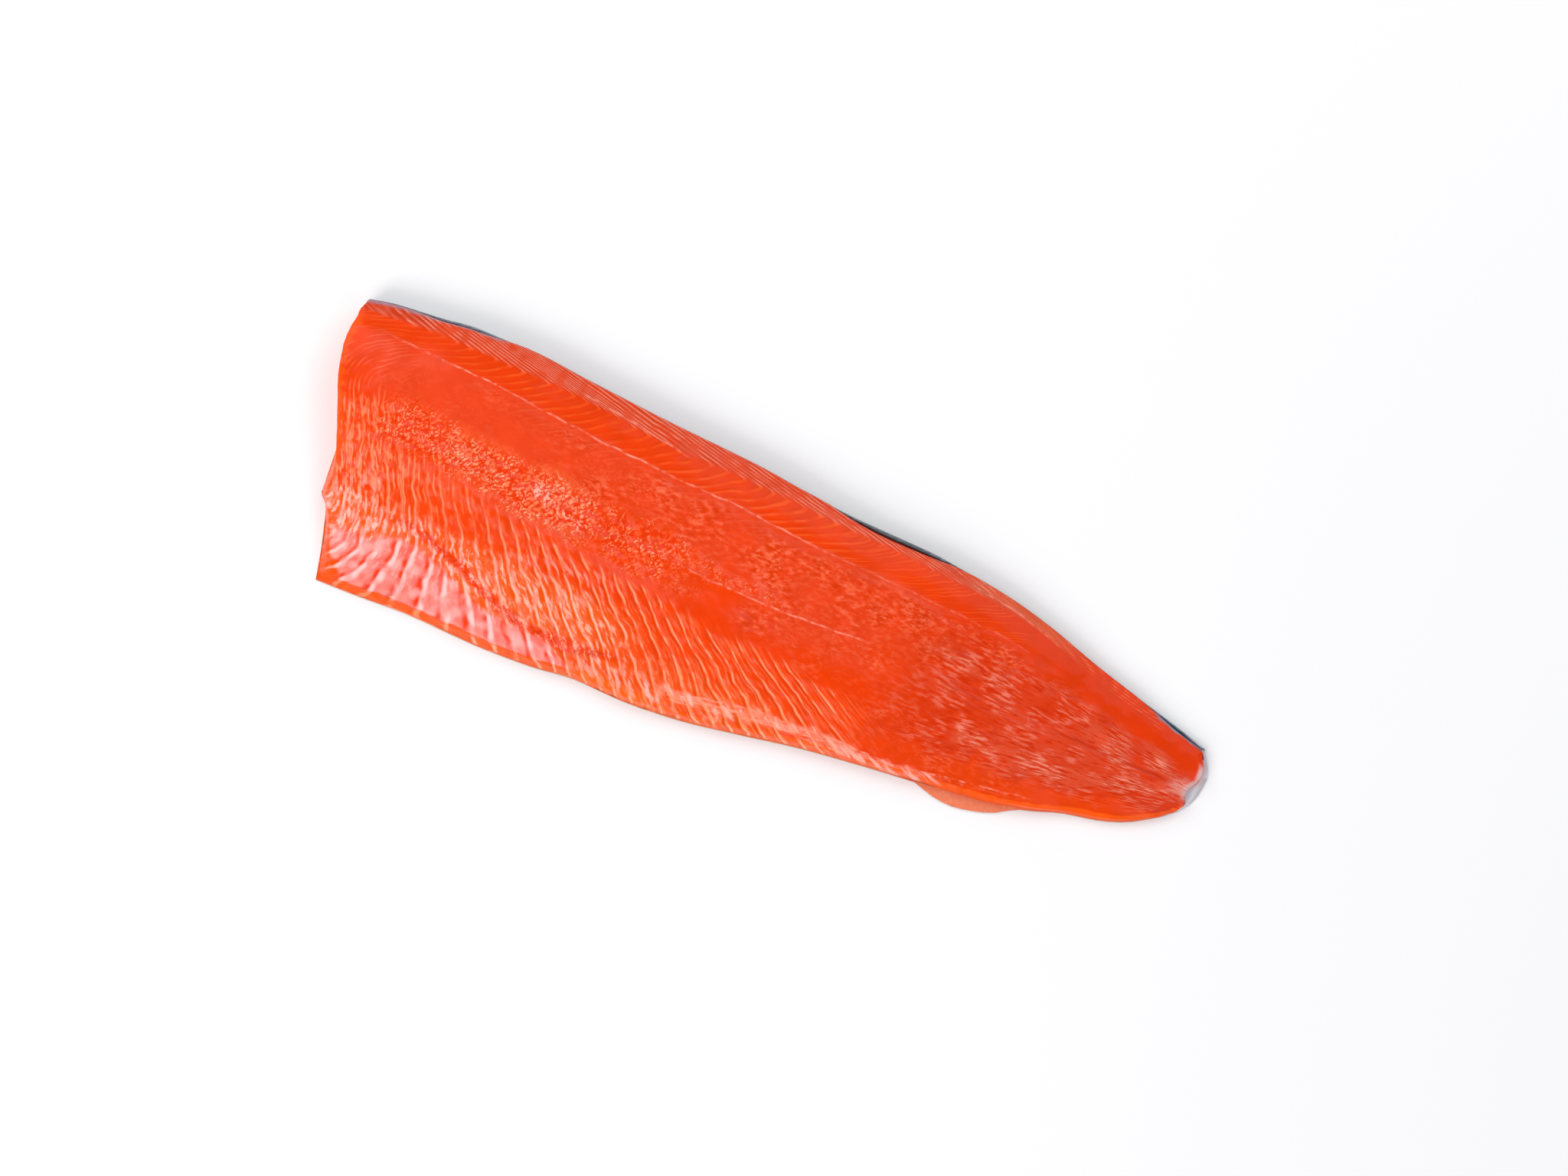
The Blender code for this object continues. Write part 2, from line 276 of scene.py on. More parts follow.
# Scarlet over the middle: its own duller tone, made paler by a soft sheen painted into it.
scarlet_with_sheen = band(across + 0.06 * lumps, 1.98, 3.05, 0.12)
scarlet_with_sheen *= smooth_step(-198, -184, fray_x) * smooth_step(95, 45, fray_x)
scarlet_with_sheen = np.maximum(scarlet_with_sheen, band(fray_y, -8, 8, 4) * band(fray_x, -5, 62, 12))
broken = band(under_midline, 0, 19, 4) * band(fray_x, -172, -28, 12)
broken = np.maximum(broken, 0.7 * band(under_midline, 2, 8, 3) * band(fray_x, -40, 12, 9))
# Paler patches on the broken tissue: painted glints of its wet, pebbly surface.
broken_glints = broken * np.maximum(
    band(fray_x, -108, -76, 8), 0.6 * band(fray_x, -142, -118, 8)
)
print("share of the surface that is scarlet:", round(float(scarlet_with_sheen.mean()), 3))

# %% Masks of the ribs and the belly
LINING_TOP = (
    (-204, -36), (-175, -40), (-165, -36), (-140, -34), (-128, -36), (-108, -41), (-95, -44),
    (-85, -47), (-60, -50.5), (-50, -57),
)
PINK_FROM_BELLY = (
    (-40, 9), (0, 10), (20, 9.2), (35, 7.5), (50, 6), (65, 4), (85, 1.8), (110, 1.2),
)
TORN_LINE = (
    (-204, -20), (-150, -26), (-135, -29), (-125, -30.5), (-112, -35), (-95, -42), (-80, -46),
    (-62, -45.5), (-48, -42), (-30, -38),
)
ribs = smooth_step(-3, -10, fray_y + 0.1 * (fray_x + 80)) * (1 - towards_tail)
ribs = np.maximum(ribs, smooth_step(20, 8, fray_y) * smooth_step(-150, -172, fray_x))
pale_ribs = band(fray_y, -50, -23, 5) * band(fray_x, -190, -44, 10)
pale_ribs += 0.5 * band(fray_y, -52, -36, 4) * band(fray_x, -44, 30, 10)
lining = smooth_step(1.5, -2.5, fray_y - line_at(LINING_TOP, fray_x))
lining *= smooth_step(-54, -66, fray_x) * smooth_step(3.2, 4.0, to_belly + 0.5 * crumbs)
lining *= smooth_step(4.5, 7.0, to_head + 1.5 * lumps - 5 * smooth_step(-50, -58, y))
off_pink = to_belly - line_at(PINK_FROM_BELLY, x)
pink_edge = band(off_pink + 1.2 * crumbs + 1.3 * lumps, -2.4, 2.0, 1.1)
pink_edge *= band(fray_x, -26, 92, 7)
off_torn = y - line_at(TORN_LINE, x, 5)
torn = band(off_torn + 1.4 * lumps, -1.8, 2.2, 1.2) * band(fray_x, -150, -44, 8)
belly_rim = smooth_step(3.8, 3.0, to_belly + 0.3 * crumbs)
scallops = band(to_belly + 0.6 * lumps, -2, 6.5, 1.5) * band(fray_x, -60, -18, 6)
print("share of the surface under the belly's lining:", round(float(lining.mean()), 3))

# %% Masks of the tail and the cut ends
LOW_TAIL_TOP = ((60, -28), (90, -23), (130, -20), (160, -13), (190, -8), (204, -4))
FIBRE_BANDS = (
    (98, 192, 3.4, (
        (80, -11), (100, -13), (130, -14.5), (150, -11.5), (170, -6), (190, 1), (204, 4),
    )),
    (146, 170, 3.0, ((140, 11), (150, 10), (168, 6), (180, 6))),
    (173, 189, 3.0, ((170, 13), (176, 12), (186, 8), (196, 6))),
    (72, 112, 2.6, ((70, 17), (84, 14), (96, 13), (110, 10))),
)
streaked = band(fray_y, -24 + 0.11 * (fray_x - 90), 26 - 0.14 * (fray_x - 90), 4)
streaked *= towards_tail
fibre_share = np.zeros(len(x))
for start, end, half_width, points in FIBRE_BANDS:
    off_band = fray_y - line_at(points, fray_x, 4)
    here = band(off_band, -half_width, half_width, 2) * band(fray_x, start, end, 5)
    fibre_share = np.maximum(fibre_share, here)
pink_patches = smooth_step(-0.1, 0.7, wander(13, 5, 2.4) + 0.5 * lumps)
tail_pink = np.maximum(0.45 * streaked * pink_patches, fibre_share)
tail_midline = band(y - 4 + 0.4 * crumbs, -0.5, 0.5, 0.5) * band(x, 136, 190, 6)
low_tail = smooth_step(0, -4, fray_y - line_at(LOW_TAIL_TOP, fray_x))
low_tail *= smooth_step(70, 100, fray_x)
tail_tip = 0.8 * smooth_step(12, 3, to_tail + 2.5 * lumps)
tail_tip *= band(y + 1.5 * crumbs, 0, 7, 2.5) * smooth_step(170, 185, x)
film_at_tail = smooth_step(3.5, 2.0, to_tail + 0.6 * crumbs)
film_at_tail *= band(y, 0, 15, 2) * smooth_step(180, 190, x)
film_at_back = band(to_back + 0.4 * crumbs, -4, 1.0, 0.4)
film_at_back *= band(x, 174, 206, 4) + 0.7 * band(x, -208, -141, 4)
head_wall = smooth_step(0.35, 0.1, upward) * smooth_step(14, 10, to_head)
head_rim = smooth_step(5.4, 3.0, to_head + 0.8 * lumps) * smooth_step(50, 44, y)
head_corner = smooth_step(-43, -48, y + 0.8 * to_head - 5)
head_corner *= smooth_step(12.0, 9.5, to_head + 0.5 * lumps)
print("share of the surface with streaks:", round(float(streaked.mean()), 3))


# %% Paint the tissues
def paint(colours, hex_colour, mask):
    """Lays a colour over the others where its mask is, and returns the result."""
    mask = np.clip(mask, 0, 1)[:, None]
    return colours * (1 - mask) + np.array(linear(hex_colour)[:3]) * mask


tissue = np.tile(linear("#EA3C02")[:3], (len(x), 1))
for hex_colour, mask in (
    # Scarlet with a painted soft sheen.
    ("#E8431C", scarlet_with_sheen),
    ("#F24C12", broken),
    # Painted glints on the broken tissue.
    ("#F87448", broken_glints),
    ("#F24206", ribs),
    ("#FC6832", 0.8 * pale_ribs * ribs),
    ("#E03804", towards_tail * (1 - low_tail)),
    ("#DB380C", streaked),
    ("#E2583A", 0.65 * tail_pink),
    ("#B52808", 0.7 * tail_midline),
    ("#EA4004", low_tail),
    ("#DC3E12", 0.85 * bundle),
    ("#C93C1C", 0.7 * smooth_step(1.0, 0.7, across) * smooth_step(-160, -180, x)),
    ("#DB5836", brown_back),
    ("#FF8A6E", 0.6 * pink_edge),
    # The lining's pink-white is its own colour with a painted soft reflection in it.
    ("#FF867C", lining),
    ("#F04204", torn),
    ("#FF5A0E", belly_rim * (1 - bundle)),
    ("#FF6414", 0.9 * scallops),
    ("#FF5206", np.maximum(head_rim, head_corner)),
    # Whiter patches on the lining: partly painted reflection.
    ("#FFA8A2", 0.8 * lining * smooth_step(0.0, 0.6, wander(6, 20))),
    ("#FF6656", 0.6 * lining * smooth_step(0.0, 0.7, wander(5, 21))),
    ("#E8A093", tail_tip),
    ("#D8B2B0", film_at_tail),
    ("#868A9C", film_at_back),
):
    tissue = paint(tissue, hex_colour, mask)
tissue *= 1 + 0.05 * wander(8, 15)[:, None]
print("mean colour:", [round(float(c), 2) for c in tissue.mean(0)])

# %% [markdown]
# How clearly a sheet shows depends on the fat in it. Over the ribs and along the back edge the
# sheets are thick and pale, on the loin they are hairlines, and under the lining they are broad
# and almost white. So strength, width and tint of the lines are fields too, and so is the amount
# of flecks, the small pale spots of fat between the sheets, which also hold painted small
# highlights.

# %% Strength and width of the sheets
line_strength = 0.8 * bundle * smooth_step(-200, -178, x)
dorsal_share = smooth_step(70, 0, x) * smooth_step(-170, -95, x) * (0.7 + 0.3 * slow)
line_strength += 0.62 * dorsal * dorsal_share
line_strength += 0.25 * dorsal * smooth_step(-95, -150, x)
line_strength += 0.25 * band(under_loin, 1, 7, 3) * band(x, -140, 30, 20)
line_strength *= 1 - smooth_step(50, 90, x) * (across > 1.02)
line_strength += 0.25 * broken
for at_least in (
    0.95 * ribs * smooth_step(66, 46, fray_x) * (1 - 0.5 * scallops),
    0.65 * lining,
    0.8 * belly_rim * smooth_step(70, 40, x),
    0.5 * band(across, 0, 0.95, 0.1) * band(x, 112, 176, 8),
):
    line_strength = np.maximum(line_strength, at_least)
line_strength *= (1 - 0.65 * torn) * (1 - 0.7 * smooth_step(6, 3, to_head + lumps))
line_strength *= 1 - 0.45 * ribs * (1 - lining) * smooth_step(-96, -124, fray_x)
line_strength *= 0.25 + 0.75 * smooth_step(-0.55, 0.3, wander(4.5, 11))
line_strength = np.maximum(line_strength, 0.6 * head_wall)
# Wide along the back's edge, narrow on the loin, and hairlines below it.
line_width = np.where(across < 1.03, 0.62, np.where(across < 2.0, 0.5, 0.3)) + 0.12 * lining
print("mean strength of the lines:", round(float(line_strength.mean()), 3))

# %% Flecks and strokes of fat, partly painted highlights
STROKE_LINE = ((-112, 13), (-72, 0))
bare = np.clip(np.maximum(head_rim, head_corner) - head_wall, 0, 1)
# Pale flecks: fat, and partly painted small highlights on the wet muscle.
fleck = 0.25 + 0.65 * np.clip(pale_ribs, 0, 1) + 0.4 * smooth_step(-150, -165, x)
fleck *= ribs * (1 - 0.65 * lining)
fleck += 0.35 * broken + 0.25 * bundle + 0.5 * head_wall
fleck *= (1 - towards_tail) * (1 - 0.85 * bare) * (1 - 0.8 * belly_rim)
fleck = np.clip(fleck, 0, 1)
# Pale strokes are partly streaks of fat and partly painted highlights: glints on the broken tissue
# along the stroke line, and white-pink highlights on the pink edge.
strokes_and_highlights = band(y - line_at(STROKE_LINE, x) + lumps, -4, 4, 2.5) * band(fray_x, -106, -76, 5)
strokes_and_highlights += 0.55 * band(fray_y, -44, -13, 6) * band(fray_x, -108, -58, 8)
strokes_and_highlights += 0.75 * band(to_belly + lumps, 3.5, 12, 3) * band(fray_x, -58, 8, 6)
strokes_and_highlights += 0.5 * band(fray_y, -36, -6, 5) * band(to_head, 6, 26, 5)
# White-pink painted highlights along the pink edge.
strokes_and_highlights += 0.9 * pink_edge
strokes_and_highlights = np.clip(strokes_and_highlights * (1 - 0.8 * lining) * (1 - bare), 0, 1)
print("mean share of flecks:", round(float(fleck.mean()), 3))

# %% Blotches, wrinkles and fine hatching
blotch = 0.8 * smooth_step(-125, -90, fray_x) * smooth_step(-0.5, 0.3, slow + 0.3 * lumps)
blotch = scarlet_with_sheen * (0.14 + blotch)
blotch += 0.6 * band(fray_x, 10, 130, 20) * (across > 2)
blotch += 0.35 * band(under_loin, 0, 9, 3) * smooth_step(-160, -120, x)
blotch *= smooth_step(-1, 7, under_loin + 2 * lumps) * (1 - 0.6 * streaked) * (1 - ribs)
blotch = np.clip(blotch, 0, 1) * (0.3 + 0.7 * smooth_step(-0.35, 0.3, wander(17, 22)))
wrinkles = blotch * smooth_step(-0.2, 0.4, wander(13, 16))
hatch = 0.7 * smooth_step(-128, -150, fray_x) * band(fray_y, -34, 22, 5)
hatch += 0.3 * ribs * band(fray_x, -30, 62, 12)
hatch += 0.6 * smooth_step(-168, -184, fray_x) * band(fray_y, 27, 50, 3)
hatch += 0.4 * dorsal * band(x, 14, 112, 10)
hatch *= 1 - 0.85 * bare
print("mean share of blotches:", round(float(blotch.mean()), 3))

# %% Tint of the sheets
tint = np.tile(linear("#FF7046")[:3], (len(x), 1))
for hex_colour, mask in (
    ("#F58C74", bundle),
    ("#FF6424", dorsal),
    ("#FF9468", np.maximum(ribs, broken)),
    ("#F4694A", scarlet_with_sheen),
    ("#F28E78", streaked),
    ("#FFB49A", pale_ribs * ribs * smooth_step(-10, -50, fray_x)),
    ("#FFB8AA", smooth_step(-18, -30, fray_y) * smooth_step(-95, -120, fray_x)),
    ("#FF9468", pale_ribs * ribs * smooth_step(-50, -10, fray_x)),
    ("#FFC8C4", lining),
    ("#FFB088", belly_rim),
):
    tint = paint(tint, hex_colour, mask)
print("mean tint:", [round(float(c), 2) for c in tint.mean(0)])

# %% [markdown]
# A few pale lines don't follow the muscle blocks: the edge of the loin, the row left by the pin
# bones, and long fibres of fat along the back and the tail. They are drawn from their distance in
# millimetres. The distance keeps its sign, because a value that changes smoothly through zero
# stays sharp when the material reads it between two vertices.

# %% Distance to the separate pale lines
BONE_ROW = (
    (-60, 4.6), (-48, 4.5), (-40, 4.2), (-20, 3.8), (0, 3.6), (20, 4.2), (30, 5), (45, 6),
    (60, 6.4),
)
SEAMS = (
    (LOIN, 0.7, (-186, 112)),
    (BONE_ROW, 0.8, (-52, 48)),
    (((-112, 55.2), (-90, 53.2), (-70, 50.2), (-48, 46.9)), 0.7, (-106, -49)),
    (((70, 47), (80, 46.2), (90, 45), (105, 42.6), (118, 39.4), (130, 35)), 0.6, (78, 122)),
    (((84, -36.5), (95, -33.6), (105, -31.4), (120, -29), (140, -26)), 0.8, (92, 137)),
)
PINK_FIBRES = (-1.7, 0.3, 2.2)  # mm from the middle of the pink edge
NO_SEAM = 5.0  # mm, further than any seam shows
seam = np.full(len(x), NO_SEAM)
seam_strength = np.zeros(len(x))
for points, strength, (start, end) in SEAMS:
    distance = y - line_at(points, x, 4)
    nearer = (np.abs(distance) < np.abs(seam)) & (x > start - 6) & (x < end + 6)
    seam = np.where(nearer, distance, seam)
    seam_strength = np.where(nearer, strength * band(x, start, end, 5), seam_strength)
loin_share = 0.4 + 0.8 * smooth_step(50, -10, x) * smooth_step(-190, -140, x)
seam_strength *= np.where(np.abs(y - line_at(LOIN, x, 4)) < 4, loin_share, 1.0)
seam_strength = np.clip(seam_strength, 0, 1)
for offset in PINK_FIBRES:
    distance = off_pink + offset + 0.9 * slow + 0.5 * lumps
    nearer = np.abs(distance) < np.abs(seam)
    seam = np.where(nearer, distance, seam)
    seam_strength = np.where(nearer, 0.85 * band(x, -22, 92, 8), seam_strength)
print("vertices within 1 mm of a seam:", int((np.abs(seam) < 1).sum()))

# %% Fade and bend the separate lines
# The strength is gone before another seam is the nearer one, so no line shows at that border.
seam_strength *= smooth_step(3.6, 2.2, np.abs(seam))
seam += 0.4 * wander(6, 13)
seam_strength *= 0.45 + 0.55 * smooth_step(-0.5, 0.35, wander(3.6, 14))
print("mean strength near the seams:", round(float(seam_strength[np.abs(seam) < 1].mean()), 2))

# %% [markdown]
# Relief comes next. Light on wet fish is all small highlights, so the sheets are shallow grooves,
# the torn tissue is crumbly, the tail has fine ridges along its fibres, and the belly's edge
# swells between the sheets. It could be sculpted, but the fields already say where each tissue
# lies. All of it stays within about 1.6 millimetres, moved straight up or down, or inwards from
# the edge, so the fillet nearly keeps its thickness and its outline.

# %% Work out the relief, in mm
GROOVE_DEPTH = 0.28
FIBRE_LENGTH, FIBRE_WIDTH = 15, 1.6
crumb_height = 0.1 * (1 - dorsal) + 0.4 * broken + 0.6 * torn + 0.25 * ribs
# A groove is 1 beside a sheet and 0 midway to the next.
groove = np.cos(2 * np.pi * (sheets + 0.12 + 0.05 * crumbs)) * 0.5 + 0.5
fibres = np.array(
    [
        noise.noise(Vector((px / FIBRE_LENGTH, py / FIBRE_WIDTH, 0.3 * pz)))
        for px, py, pz in flesh_points
    ]
)
bone_row = band(x, -52, 48, 4) * (np.abs(y - 4.5) < 4)
torn_step = smooth_step(-1.0, 1.5, off_torn) * band(x, -150, -50, 8) * band(off_torn, -6, 14, 5)
relief = 0.35 * slow + 0.22 * lumps * (1 - 0.6 * dorsal) + crumbs * crumb_height
relief -= GROOVE_DEPTH * groove * np.clip(line_strength, 0, 1) * (across > 1.05)
relief += (0.7 * fibres + 0.2 * lumps) * streaked
relief += 0.7 * torn_step
relief -= 0.5 * np.exp(-((seam / 1.2) ** 2)) * bone_row
relief += (1 - groove) * (0.22 * lining + 0.5 * scallops)
print("relief spans", round(float(relief.min()), 2), "to", round(float(relief.max()), 2), "mm")

# %% Press the relief into the flesh, and nibble its cut edges
free = smooth_step(0.0, 0.5, upward) * smooth_step(0.3, 2.5, np.minimum(to_back, to_belly))
nibble = smooth_step(4, 0, to_belly) * (0.25 * (1 + lumps) + 0.15 * scallops * groove)
nibble_head = smooth_step(4, 0, to_head) * 0.35 * (1 + crumbs + lumps)
moves = np.stack([np.maximum(nibble_head, 0), np.maximum(nibble, 0), relief * free], axis=1)
for vert, move in zip(flesh_bm.verts, moves * MM):
    vert.co += Vector(move)
print("furthest move:", round(float(np.abs(moves).max()), 2), "mm")


# %% Make the flesh piece
def store(mesh, name, values):
    """Puts a number or a colour on each vertex, for materials to read by name."""
    is_colour = values.ndim == 2
    layer = mesh.attributes.new(name, "FLOAT_COLOR" if is_colour else "FLOAT", "POINT")
    if is_colour:
        layer.data.foreach_set("color", np.hstack([values, np.ones((len(values), 1))]).ravel())
    else:
        layer.data.foreach_set("value", values)


def finish_piece(bm, name, node_name):
    """Turns a bmesh into a smooth piece that stands for a CAD node and rides on the fillet."""
    mesh = bpy.data.meshes.new(name)
    bm.to_mesh(mesh)
    bm.free()
    mesh.shade_smooth()
    piece = bpy.data.objects.new(name, mesh)
    bpy.context.scene.collection.objects.link(piece)
    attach(piece, "root")
    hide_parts(node_name)
    return piece


flesh = finish_piece(flesh_bm, "salmon_flesh", "flesh")
print("flesh piece:", sum(len(p.vertices) - 2 for p in flesh.data.polygons), "triangles")

# %% Store the fields on the flesh
HEAD_WALL_TOP = 20  # mm, where the lines on the head's cut face meet those of the upper side
bent_sheets = sheets + 0.06 * wander(4, 12) + 0.18 * wander(13, 19)
bent_sheets += 0.14 * head_wall * (HEAD_WALL_TOP - z)
fibrous = np.clip(0.5 * streaked + 0.6 * fibre_share, 0, 1)
# Pale crumb tops: painted glints on the broken tissue.
crumb_glints = np.clip(0.6 * broken + broken_glints, 0, 1)
fields = {
    "tissue": tissue, "tint": tint, "sheets": bent_sheets, "across": across,
    "line_strength": np.clip(line_strength, 0, 1), "line_width": line_width,
    "seam": seam, "seam_strength": seam_strength,
    "fleck": fleck, "strokes_and_highlights": strokes_and_highlights, "blotch": blotch, "wrinkles": wrinkles, "hatch": hatch,
    # Where painted shade darkens the gaps between the crumbs, on the broken and torn tissue.
    "crumb_gap_shade": np.clip(broken + 0.7 * torn, 0, 1),
    "crumb_glints": crumb_glints * smooth_step(-0.45, 0.2, wander(7, 17)),
    "streaked": streaked, "fibrous": fibrous * smooth_step(-0.3, 0.15, wander(8, 18)),
}
for name, values in fields.items():
    store(flesh.data, name, values)
print("fields:", ", ".join(fields))


# %% [markdown]
# The flesh material is raw muscle, cut with a knife and wet. Its colour sits deep in the meat, so
# the base colour does most of the work, and a thin film of water over it gives small, soft
# highlights. Over the painted tissue come flecks and strokes of fat, which also carry painted
# small highlights, the lines between the muscle blocks with painted shade beside them, the
# separate seams, the crumbs of the broken tissue with painted glints on their tops and painted
# shade in the gaps between them, and the fibres at the tail. Each layer is a mask and a colour,
# and a loop lays them over one another.

# %% Helpers that add one node, size a pattern and start a material
def add_node(material, kind, settings, output=0):
    """Adds a node and returns an output. Its settings are options, values or other outputs."""
    made = material.node_tree.nodes.new(kind)
    for name, value in settings.items():
        if isinstance(value, bpy.types.NodeSocket):
            material.node_tree.links.new(value, made.inputs[name])
        elif isinstance(name, int) or name in made.inputs:
            made.inputs[name].default_value = value
        else:
            setattr(made, name, value)
    return made.outputs[output]


def per_lump(size_mm):
    """The scale of a pattern whose lumps are that large."""
    return 1 / (size_mm * MM)


def new_material(name):
    """A new material, and the shader that it starts with."""
    material = bpy.data.materials.new(name)
    material.use_nodes = True
    return material, material.node_tree.nodes["Principled BSDF"]


# %% Raw muscle: read the fields, and lay coordinates along the sheets and the fibres
# Wet raw muscle, cut with a knife: a deep, saturated orange that looks moist, not glazed.
FIBRES_PER_LEVEL = 20.0  # fibres side by side in each of the five levels across the fillet
raw_muscle, muscle_shader = new_material("wet_raw_salmon_muscle")
read = {}
for name, values in fields.items():
    read[name] = add_node(
        raw_muscle, "ShaderNodeAttribute", {"attribute_name": name},
        "Color" if values.ndim == 2 else "Fac",
    )
place = add_node(raw_muscle, "ShaderNodeTexCoord", {}, "Object")
axes = add_node(raw_muscle, "ShaderNodeSeparateXYZ", {0: place}).node
stretched = [
    add_node(raw_muscle, "ShaderNodeMath", {"operation": "MULTIPLY", 0: value, 1: times})
    for value, times in (
        (read["sheets"], SHEET_SPACING),  # across the sheets, in mm
        (axes.outputs[1], per_lump(2.5)),  # down along them, in steps of 2.5 mm
        (axes.outputs[0], per_lump(6)),  # along the tail's fibres, in steps of 6 mm
        (read["across"], FIBRES_PER_LEVEL),  # across those fibres
    )
]
on_sheets = add_node(raw_muscle, "ShaderNodeCombineXYZ", {0: stretched[0], 1: stretched[1]})
on_fibres = add_node(raw_muscle, "ShaderNodeCombineXYZ", {0: stretched[2], 1: stretched[3]})
# The blotches of the middle lie aslant, and are about twice as long as they are wide.
slanted = add_node(
    raw_muscle, "ShaderNodeMapping",
    {"Vector": place, "Rotation": (0, 0, -0.9), "Scale": (1.0, 1.9, 1.0)},
)
print("fields read by the muscle:", len(read))

# %% Raw muscle: a noise for each pattern
# On the sheets a scale of 0.35, 0.42 or 0.6 makes lumps of about 2.9, 2.4 or 1.7 mm, the width
# of real flecks of fat, and of the small highlights painted with them. Real fibres are thinner
# than the tail's, which are drawn as coarse as they need to show.
noises = {}
for name, where, scale, detail in (
    ("hatch", on_sheets, 0.35, 0.0),
    ("flecks", on_sheets, 0.6, 3.0),
    ("strokes_and_highlights", on_sheets, 0.42, 2.0),
    ("seams", place, per_lump(3), 1.0),
    ("blotches", slanted, per_lump(3.4), 2.0),
    ("wrinkles", slanted, per_lump(2.0), 2.0),
    ("bend", place, per_lump(2.5), 0.0),
    ("fibres", on_fibres, 1.0, 2.0),
):
    noises[name] = add_node(
        raw_muscle, "ShaderNodeTexNoise", {"Vector": where, "Scale": scale, "Detail": detail}
    )
print("noises:", ", ".join(noises))

# %% Raw muscle: round crumbs, with their rows bent
# The crumbs of torn tissue are 1.35 mm wide. Without the bend they would lie too evenly.
BEND = 1.2 * MM
bend_by = add_node(
    raw_muscle, "ShaderNodeMapRange", {0: noises["bend"], 1: 0.2, 2: 0.8, 3: -BEND, 4: BEND}
)
bent_place = add_node(
    raw_muscle, "ShaderNodeVectorMath", {"operation": "ADD", 0: place, 1: bend_by}
)
crumb_cells = add_node(
    raw_muscle, "ShaderNodeTexVoronoi", {"Vector": bent_place, "Scale": per_lump(1.35)}
)
print("crumbs drawn by", len(raw_muscle.node_tree.nodes), "nodes so far")

# %% Raw muscle: turn the patterns into masks
# Nothing shows at the first value of a pattern, and the field's full share at the second.
masks = {}
for name, pattern, nothing, full, field in (
    ("hatch", noises["hatch"], 0.42, 0.6, "hatch"),
    ("seams", noises["seams"], 0.33, 0.6, "seam_strength"),
    # Pale flecks: fat, partly painted highlights.
    ("pale flecks and highlights", noises["flecks"], 0.51, 0.62, "fleck"),
    ("dark flecks", noises["flecks"], 0.47, 0.34, "fleck"),
    # Pale strokes: fat, and partly painted highlights.
    ("pale strokes and highlights", noises["strokes_and_highlights"], 0.5, 0.61, "strokes_and_highlights"),
    ("pale blotches", noises["blotches"], 0.5, 0.72, "blotch"),
    ("dark blotches", noises["blotches"], 0.48, 0.32, "blotch"),
    ("pale wrinkles", noises["wrinkles"], 0.52, 0.7, "wrinkles"),
    ("dark wrinkles", noises["wrinkles"], 0.45, 0.34, "wrinkles"),
    # Pale crumb centres are painted glints.
    ("glinting crumbs", crumb_cells, 0.4, 0.16, "crumb_glints"),
    # Crumb borders get painted shade.
    ("shaded gaps", crumb_cells, 0.4, 0.65, "crumb_gap_shade"),
    ("pale fibres", noises["fibres"], 0.5, 0.6, "fibrous"),
    ("dark fibres", noises["fibres"], 0.46, 0.36, "streaked"),
):
    masks[name] = add_node(
        raw_muscle, "ShaderNodeMapRange", {0: pattern, 1: nothing, 2: full, 3: 0.0, 4: read[field]}
    )
print("masks:", ", ".join(masks))


# %% Raw muscle: lines between the blocks, and the separate seams
def lines_at(repeats, shift, width, most):
    """Lines beside the sheets: so many for each sheet, moved by shift, as wide as that share."""
    count = add_node(
        raw_muscle, "ShaderNodeMath",
        {"operation": "MULTIPLY_ADD", 0: read["sheets"], 1: repeats, 2: shift},
    )
    away = add_node(raw_muscle, "ShaderNodeMath", {"operation": "PINGPONG", 0: count, 1: 0.5})
    in_widths = add_node(raw_muscle, "ShaderNodeMath", {"operation": "DIVIDE", 0: away, 1: width})
    return add_node(
        raw_muscle, "ShaderNodeMapRange",
        {"interpolation_type": "SMOOTHSTEP", 0: in_widths, 1: 0.5, 2: 0.08, 3: 0.0, 4: most},
    )


SEAM_REACH, SEAM_CORE = 0.65, 0.1  # mm from the middle of a seam to its end and to its full colour
masks["sheet lines"] = lines_at(1.0, 0.0, read["line_width"], read["line_strength"])
# A darker band beside each sheet line is painted shade of the groove next to it.
masks["shade beside lines"] = lines_at(1.0, 0.24, 0.5, read["line_strength"])
masks["fine lines"] = lines_at(2.6, 0.3, 0.55, masks["hatch"])
off_seam = add_node(raw_muscle, "ShaderNodeMath", {"operation": "ABSOLUTE", 0: read["seam"]})
masks["seam lines"] = add_node(
    raw_muscle, "ShaderNodeMapRange",
    {
        "interpolation_type": "SMOOTHSTEP", 0: off_seam, 1: SEAM_REACH, 2: SEAM_CORE, 3: 0.0,
        4: masks["seams"],
    },
)
print("lines drawn by", len(raw_muscle.node_tree.nodes), "nodes so far")

